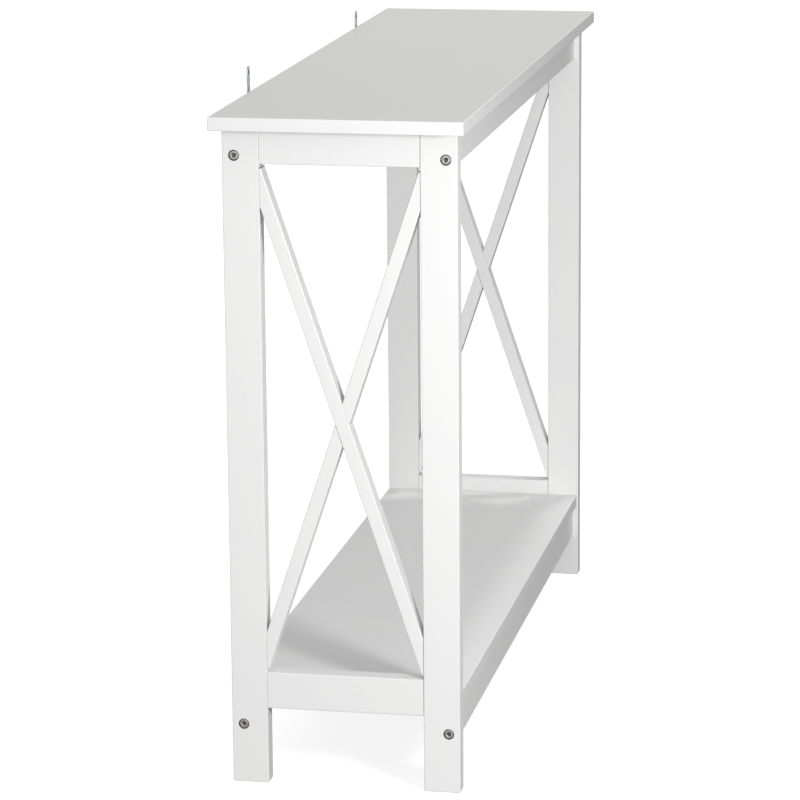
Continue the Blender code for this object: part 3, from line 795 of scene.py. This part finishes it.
def brace_outline(brace, turn, grow=0.0):
    """The corners (y, z) of a brace seen from the end, leaning to the front or back by turn, -1 or 1."""
    spread = grow / math.sin(brace["lean"])
    reach = brace["reach"]
    tip = (BRACE_TIP_GAP + spread) * math.tan(brace["lean"])
    upper = [(reach, brace["low"] - spread), (reach, brace["high"]), (reach - tip, brace["high"])]
    lower = [(-y, -z) for y, z in upper]
    centre = brace["centre"]
    return [(centre.y + turn * y, centre.z + z) for y, z in upper + lower]


def make_brace(brace):
    node = brace["node"]
    centre = brace["centre"]
    half = brace["thickness"] / 2
    bm = bmesh.new()
    corners = [(centre.x - half, y, z) for y, z in brace_outline(brace, brace["turn"])]
    prism(bm, corners, (2 * half, 0, 0))
    for direction in ((0, -1, 0), (0, 1, 0)):
        tenon(bm, direction, BRACE_TENON)
    longest = max(edge.calc_length() for edge in bm.edges)
    sides = [edge for edge in bm.edges if edge.calc_length() > longest - BRACE_EDGE_SPREAD]
    round_edges(bm, sides, ARRIS)
    for side in (-1, 1):
        level = Vector((0, 0, centre.z + side * (brace["high"] - TIP_SHADE)))
        geometry = bm.verts[:] + bm.edges[:] + bm.faces[:]
        bmesh.ops.bisect_plane(bm, geom=geometry, plane_co=level, plane_no=(0, 0, 1))

    # On the outer face the brace that rises to the back at the left end runs through unbroken, and the
    # other brace is cut there. The right end is the same frame turned half round
    outward = -1 if brace["end"] == "left" else 1
    on_outer_face = brace["turn"] * outward < 0
    cut_side = -outward if on_outer_face else outward
    outside = centre.x + cut_side * (half + OVERCUT)
    lap = centre.x - cut_side * FIT / 4
    notch = bmesh.new()
    corners = [(outside, y, z) for y, z in brace_outline(brace, -brace["turn"], FIT * 0.5)]
    prism(notch, corners, (lap - outside, 0, 0))
    mesh = carved(mesh_from(bm, f"{node}_painted"), notch)
    along = Vector((0, brace["turn"] * math.sin(brace["lean"]), math.cos(brace["lean"])))
    across = Vector((1, 0, 0)).cross(along)
    axes = Matrix((along, across, Vector((1, 0, 0)))).transposed().to_4x4()
    matrix = Matrix.Translation(centre) @ axes
    places = [vertex.co - centre for vertex in mesh.vertices]
    at_tip = [abs(abs(place.z) - brace["high"]) < FACE_DEPTH for place in places]
    at_leg = [abs(place.y) > brace["reach"] - FACE_DEPTH for place in places]
    # Painted shade on the faces of the sawn tips
    painted_crevice_shade = mesh.attributes.new("painted_crevice_shade", "FLOAT", "POINT").data
    for index, tip in enumerate(at_tip):
        painted_crevice_shade[index].value = 1.0 if tip else 0.0
    finish_board(mesh, node, matrix, [FAR, BRACE_WIDTH / 2, half])
    for edge in mesh.edges:
        first, second = edge.vertices
        if (at_tip[first] and at_tip[second]) or (at_leg[first] and at_leg[second]):
            edge.use_edge_sharp = True


# ---------------------------------------------------------------- fixings


def marked(mesh, name):
    """The mesh under its last name, with its own axes as the places of its vertices."""
    mesh.name = name
    mark(mesh, Matrix())
    return mesh


def bolt_mesh(length):
    """A furniture bolt with a hexagon socket. Origin at the middle of its head's face, shank along +X."""
    head = BOLT_HEAD_RADIUS
    under = BOLT_HEAD_DEPTH
    shank = BOLT_SHANK_RADIUS
    bm = bmesh.new()
    # The head's face, rim and underside, then the plain shank, the thread and the chamfered tip
    stations = [(0.0, head - 0.0016)]
    stations += fillet(0.0009, head - 0.0009, 0.0009, 180, 90, 5)
    stations += [(under - 0.0003, head), (under, head - 0.0003), (under, shank + 0.0003)]
    stations += [(under + 0.0003, shank), (0.022, shank)]
    stations += threaded(0.0222, length - 0.001, shank, 0.00055, BOLT_THREAD_PITCH)
    stations += [(length - 0.0006, shank - 0.0004), (length, shank - 0.0011)]
    lathe(bm, stations, segments=ROUND_SIDES)
    body = mesh_from(bm, "bolt_body")

    corner = SOCKET_WIDTH / math.sqrt(3)
    wide = corner + SOCKET_CHAMFER
    hexagon = [(-OVERCUT, corner), (SOCKET_DEPTH, corner)]
    countersink = [(-OVERCUT, wide + OVERCUT), (0.0, wide), (0.0007, corner - 0.0003)]
    drilled = [(SOCKET_DEPTH - 0.0002, 0.0021), (SOCKET_DEPTH + 0.0009, 0.0001)]
    for cut, sides in ((hexagon, 6), (countersink, ROUND_SIDES), (drilled, SINK_SIDES)):
        cutter = bmesh.new()
        lathe(cutter, cut, segments=sides)
        body = carved(body, cutter)
    body = marked(body, "connector_bolt_detail")

    # Painted shade in the socket and in the gap round the head's rim
    recess = body.attributes["edge"].data
    for vertex in body.vertices:
        depth = vertex.co.x
        radius = math.hypot(vertex.co.y, vertex.co.z)
        if radius > RECESS_RADIUS:
            dark = min(1.0, max(0.0, (radius - 0.0047) / 0.0005))
        else:
            dark = min(1.0, max(0.0, depth / SOCKET_DEPTH))
        recess[vertex.index].value = dark if depth < under + FIT else 0.0
    return body


def nut_mesh(length):
    """A slotted barrel nut along local X, slot at the +X end, with a threaded cross bore along local Y."""
    radius = NUT_RADIUS
    bore = NUT_BORE_RADIUS
    half = length / 2
    bm = bmesh.new()
    stations = fillet(-half + 0.0004, radius - 0.0004, 0.0004, 180, 90, 3)
    stations += fillet(half - 0.0004, radius - 0.0004, 0.0004, 90, 0, 3)
    lathe(bm, stations, segments=ROUND_SIDES)
    body = mesh_from(bm, "nut_body")
    cutters = bmesh.new()
    side = radius + OVERCUT
    across = pointing(Vector((0, -radius - OVERCUT, 0)), (0, 1, 0))
    reach = 2 * side
    ridge = threaded(0.0015, reach - 0.0015, bore, 0.0004, BOLT_THREAD_PITCH)
    lathe(cutters, [(0.0, bore), *ridge, (reach, bore)], across, SINK_SIDES)
    body = carved(body, cutters)
    slot = bmesh.new()
    depth = half - NUT_SLOT_DEPTH
    add_box(slot, (depth, -side, -NUT_SLOT_WIDTH / 2), (half + OVERCUT, side, NUT_SLOT_WIDTH / 2))
    return marked(carved(body, slot), "barrel_nut_detail")


def dowel_mesh(length, radius):
    """A fluted beech dowel along local X with chamfered ends."""

    def flutes(size):
        return lambda angle: size - FLUTE_DEPTH * max(0.0, math.cos(FLUTES * angle))

    bm = bmesh.new()
    stations = [(0.0, radius - 0.001), (0.001, flutes(radius)), (length - 0.001, flutes(radius))]
    stations += [(length, radius - 0.001)]
    lathe(bm, stations, segments=DOWEL_SIDES)
    return marked(mesh_from(bm, "rail_dowel_detail"), "rail_dowel_detail")


def recess_arm(turn, depth, width, arm):
    """Cutter for one arm of a cross recess that opens at x = 0 and tapers inwards."""
    bm = bmesh.new()
    spin = Matrix.Rotation(turn, 4, "X")
    mouth = (-OVERCUT, width * 1.5, arm * 1.3)
    bottom = (depth, width * 0.38, arm * 0.6)
    verts = []
    for x, reach, thick in (mouth, bottom):
        for y, z in ((-reach, -thick), (reach, -thick), (reach, thick), (-reach, thick)):
            verts.append(bm.verts.new(spin @ Vector((x, y, z))))
    near, far = verts[:4], verts[4:]
    bm.faces.new(near[::-1])
    bm.faces.new(far)
    for step in range(4):
        after = (step + 1) % 4
        bm.faces.new((near[step], near[after], far[after], far[step]))
    return bm


def with_cross(body, depth, width, arm):
    """Cuts the two arms one after the other, so that each cutter is a plain closed body."""
    for turn in (0.0, math.pi / 2):
        body = carved(body, recess_arm(turn, depth, width, arm))
    return body


def wood_screw_mesh(length):
    """A countersunk wood screw. Origin at the middle of its head's face, pointing along +X."""
    bm = bmesh.new()
    # The countersunk head and the neck, then the thread and the point
    stations = [(0.0, 0.0036), (0.0002, 0.0039), (0.0026, 0.0020), (0.0080, 0.00195)]
    stations += threaded(0.0084, length - 0.0045, 0.0020, 0.00065, WOOD_SCREW_PITCH)
    stations += [(length - 0.0040, 0.0016), (length - 0.0015, 0.0007), (length, 0.0001)]
    lathe(bm, stations, segments=36)
    body = with_cross(mesh_from(bm, "wood_screw"), 0.0019, 0.0023, 0.00045)
    return marked(body, "wood_screw_detail")


def pan_screw_mesh(length):
    """A pan-head screw. Origin at the top of its head, pointing along +X."""
    bm = bmesh.new()
    top = PAN_HEAD_HEIGHT
    # The domed head and its flat underside, then the neck, the thread and the point
    stations = [(0.0, 0.0014), (0.00012, 0.0022), (0.00035, 0.0029), (0.0007, 0.0034)]
    stations += [(0.0011, 0.00375), (0.0016, 0.00395), (top - 0.0001, 0.0040), (top, 0.0039)]
    stations += [(top, 0.00175), (top + 0.0020, 0.0017)]
    stations += threaded(top + 0.0022, length - 0.0035, 0.00175, 0.00055, WOOD_SCREW_PITCH)
    stations += [(length - 0.0030, 0.0014), (length - 0.0012, 0.0006), (length, 0.0001)]
    lathe(bm, stations, segments=ROUND_SIDES)
    body = with_cross(mesh_from(bm, "pan_screw"), 0.0013, 0.0021, 0.0004)
    return marked(body, "pan_screw_detail")


def make_bolts():
    low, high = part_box("connector_bolt_left_front_top")
    mesh = bolt_mesh(high.x - low.x)
    for end, face, level in JOINTS:
        node = f"connector_bolt_{end}_{face}_{level}"
        low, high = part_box(node)
        centre = (low + high) / 2
        inward = 1 if end == "left" else -1
        start = Vector((low.x if inward > 0 else high.x, centre.y, centre.z))
        spin = Matrix.Rotation(chance.uniform(0, math.tau), 4, "X")
        matrix = pointing(start, (inward, 0, 0)) @ spin
        show(mesh, f"{node}_steel", BOLT_STEEL, [node], matrix)


def make_nuts():
    low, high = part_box("barrel_nut_left_front_top")
    mesh = nut_mesh(high.y - low.y)
    for end, face, level in JOINTS:
        node = f"barrel_nut_{end}_{face}_{level}"
        inward = 1 if face == "front" else -1
        matrix = pointing(middle(node), (0, inward, 0))
        show(mesh, f"{node}_steel", BOLT_STEEL, [node], matrix)


def turned_by_chance(start, direction):
    """The matrix that points local +X this way, turned round it by a random angle."""
    return pointing(start, direction) @ Matrix.Rotation(chance.uniform(0, 3), 4, "X")


def make_dowels():
    low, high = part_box("rail_dowel_left_front_top")
    mesh = dowel_mesh(high.x - low.x, (high.z - low.z) / 2)
    for end, face, level in JOINTS:
        node = f"rail_dowel_{end}_{face}_{level}"
        low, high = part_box(node)
        centre = (low + high) / 2
        matrix = turned_by_chance(Vector((low.x, centre.y, centre.z)), (1, 0, 0))
        show(mesh, f"{node}_fluted", BEECH, [node], matrix)


def make_panel_screws():
    low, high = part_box("top_screw_1")
    mesh = wood_screw_mesh(high.z - low.z)
    for prefix in ("top_screw", "shelf_screw"):
        for number in SCREW_NUMBERS:
            node = f"{prefix}_{number}"
            low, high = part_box(node)
            start = Vector(((low.x + high.x) / 2, (low.y + high.y) / 2, low.z))
            matrix = turned_by_chance(start, (0, 0, 1))
            show(mesh, f"{node}_steel", SCREW_STEEL, [node], matrix)


def plate_outline(width, length):
    """The points (x, z) round a plate with a round tip, from the middle of its lower edge."""
    points = []
    half = width / 2
    corner = PLATE_CORNER
    arcs = (
        (0.0, length - half, half, 0, 180, 32),
        (-half + corner, corner, corner, 180, 270, 6),
        (half - corner, corner, corner, 270, 360, 6),
    )
    for x, z, size, first, last, count in arcs:
        for step in range(count + 1):
            angle = math.radians(first + (last - first) * step / count)
            points.append((x + size * math.cos(angle), z + size * math.sin(angle)))
    return points


def make_plate(end):
    """A sheet-steel plate with a wall-screw hole near its tip and a slot for its own screw."""
    node = f"anti_tip_plate_{end}"
    low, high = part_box(node)
    width = high.x - low.x
    length = high.z - low.z
    depth = high.y - low.y
    origin = Vector(((low.x + high.x) / 2, low.y, low.z))
    bm = bmesh.new()
    corners = [origin + Vector((x, 0, z)) for x, z in plate_outline(width, length)]
    prism(bm, corners, (0, depth, 0))
    rims = [edge for edge in bm.edges if abs(edge.verts[0].co.y - edge.verts[1].co.y) < 1e-6]
    round_edges(bm, rims, PLATE_EASE, 2)
    cutters = bmesh.new()
    hole = origin + Vector((0, 0, length - PLATE_HOLE_FROM_TIP))
    radius = PLATE_HOLE_RADIUS
    stations = [(0.0, radius + OVERCUT + 0.0002), (OVERCUT + 0.0002, radius)]
    stations += [(OVERCUT + depth - PLATE_EASE, radius), (OVERCUT + depth, radius + PLATE_EASE)]
    stations += [(2 * OVERCUT + depth, radius + PLATE_EASE + OVERCUT)]
    lathe(cutters, stations, pointing(hole + Vector((0, -OVERCUT, 0)), (0, 1, 0)), ROUND_SIDES)
    slot = []
    for z, first in ((PLATE_SLOT_HIGH, 0), (PLATE_SLOT_LOW, 180)):
        for step in range(17):
            angle = math.radians(first + 180 * step / 16)
            x = PLATE_SLOT_RADIUS * math.cos(angle)
            slot.append(origin + Vector((x, -OVERCUT, z + PLATE_SLOT_RADIUS * math.sin(angle))))
    prism(cutters, slot, (0, depth + 2 * OVERCUT, 0))
    mesh = carved(mesh_from(bm, f"{node}_zinc"), cutters)
    axes = Matrix(((0, 1, 0), (0, 0, 1), (1, 0, 0))).to_4x4()
    centre = (low + high) / 2
    matrix = Matrix.Translation(centre) @ axes
    mark(mesh, matrix, None, random_offset())
    edge = mesh.attributes["edge"].data
    # Painted shade on the hole's wall
    painted_crevice_shade = mesh.attributes.new("painted_crevice_shade", "FLOAT", "POINT").data
    for vertex in mesh.vertices:
        place = vertex.co
        inside = low.y + FACE_DEPTH < place.y < high.y - FACE_DEPTH
        edge[vertex.index].value = 1.0 if inside else 0.0
        across = math.hypot(place.x - hole.x, place.z - hole.z)
        painted_crevice_shade[vertex.index].value = 1.0 if across < PLATE_HOLE_RADIUS + 0.0001 else 0.0
    show(mesh, f"{node}_zinc", ZINC, [node])


def make_plate_screws():
    low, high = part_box("plate_screw_left")
    mesh = pan_screw_mesh(high.y - low.y)
    for end in ENDS:
        node = f"plate_screw_{end}"
        low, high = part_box(node)
        centre = (low + high) / 2
        matrix = turned_by_chance(Vector((centre.x, high.y, centre.z)), (0, -1, 0))
        show(mesh, f"{node}_steel", SCREW_STEEL, [node], matrix)


# ---------------------------------------------------------------- studio


def make_stage(name, bm, material):
    """The floor or backdrop: bright to the camera, but leaving the light on the table to the lamps."""
    mesh = bpy.data.meshes.new(name)
    bm.to_mesh(mesh)
    bm.free()
    mesh.materials.append(material)
    stage = bpy.data.objects.new(name, mesh)
    bpy.context.scene.collection.objects.link(stage)
    stage.visible_diffuse = False
    stage.visible_glossy = False
    stage.visible_shadow = False


def make_studio():
    material = floor_material()
    bm = bmesh.new()
    bmesh.ops.create_grid(bm, x_segments=8, y_segments=8, size=FLOOR_SIZE)
    make_stage("studio_floor", bm, material)
    bm = bmesh.new()
    bmesh.ops.create_cone(
        bm,
        cap_ends=False,
        segments=96,
        radius1=BACKDROP_RADIUS,
        radius2=BACKDROP_RADIUS,
        depth=BACKDROP_HEIGHT,
    )
    bmesh.ops.translate(bm, vec=(0, 0, BACKDROP_HEIGHT / 2), verts=bm.verts)
    make_stage("studio_backdrop", bm, material)


def make_sky():
    """Plain even light from above the horizon, and weaker light from below it."""
    world = bpy.data.worlds.new("studio_world")
    bpy.context.scene.world = world
    world.use_nodes = True
    tree = world.node_tree
    direction = tree.nodes.new("ShaderNodeTexCoord").outputs["Generated"]
    apart = tree.nodes.new("ShaderNodeSeparateXYZ")
    tree.links.new(direction, apart.inputs[0])
    split = tree.nodes.new("ShaderNodeMapRange")
    tree.links.new(apart.outputs[2], split.inputs[0])
    steps = ((1, -HORIZON_BLUR), (2, HORIZON_BLUR), (3, GROUND_LIGHT), (4, SKY_LIGHT))
    for socket, value in steps:
        split.inputs[socket].default_value = value
    sky = tree.nodes["Background"]
    sky.inputs["Color"].default_value = WHITE
    tree.links.new(split.outputs[0], sky.inputs["Strength"])


def make_lamps():
    for name, (place, aim, size, power) in LIGHTS.items():
        data = bpy.data.lights.new(name, "AREA")
        data.shape = "SQUARE"
        data.size = size
        data.energy = power
        light = bpy.data.objects.new(name, data)
        light.location = place
        light.rotation_euler = (Vector(aim) - Vector(place)).to_track_quat("-Z", "Y").to_euler()
        light.visible_camera = False
        bpy.context.scene.collection.objects.link(light)


def make_camera():
    data = bpy.data.cameras.new("camera")
    data.sensor_width = SENSOR_WIDTH
    data.lens = CAMERA_LENS
    data.clip_end = 60.0
    camera = bpy.data.objects.new("camera", data)
    turn = (CAMERA_AIM - CAMERA_PLACE).to_track_quat("-Z", "Y").to_matrix().to_4x4()
    roll = Matrix.Rotation(CAMERA_ROLL, 4, "Z")
    camera.matrix_world = Matrix.Translation(CAMERA_PLACE) @ turn @ roll
    bpy.context.scene.collection.objects.link(camera)
    bpy.context.scene.camera = camera
    bpy.context.scene.view_settings.view_transform = "Standard"


PAINT = paint_material("satin_white_board", BOARD_GRAIN)
PANEL_PAINT = paint_material("satin_white_panel", PANEL_GRAIN)
BOLT_STEEL = steel_material(
    "nickel_plated_steel", NICKEL_LIGHT, NICKEL_DARK, NICKEL_SMOOTH, NICKEL_DULL
)
SCREW_STEEL = steel_material("zinc_plated_steel", ZINC_LIGHT, ZINC_DARK, ZINC_SMOOTH, ZINC_DULL)
ZINC = zinc_material()
BEECH = beech_material()
BRACES = brace_facts()

make_camera()
make_studio()
make_sky()
make_lamps()
make_top()
make_shelf()
for end_name in ENDS:
    for face_name in FACES:
        make_leg(end_name, face_name)
    make_end_rail(end_name, "top")
    make_end_rail(end_name, "lower")
for brace_fact in BRACES:
    make_brace(brace_fact)
for face_name in FACES:
    make_long_rail(f"apron_{face_name}", face_name, "top", "top_screw")
    make_long_rail(f"lower_rail_{face_name}", face_name, "lower", "shelf_screw")
make_bolts()
make_nuts()
make_dowels()
make_panel_screws()
for end_name in ENDS:
    make_plate(end_name)
make_plate_screws()
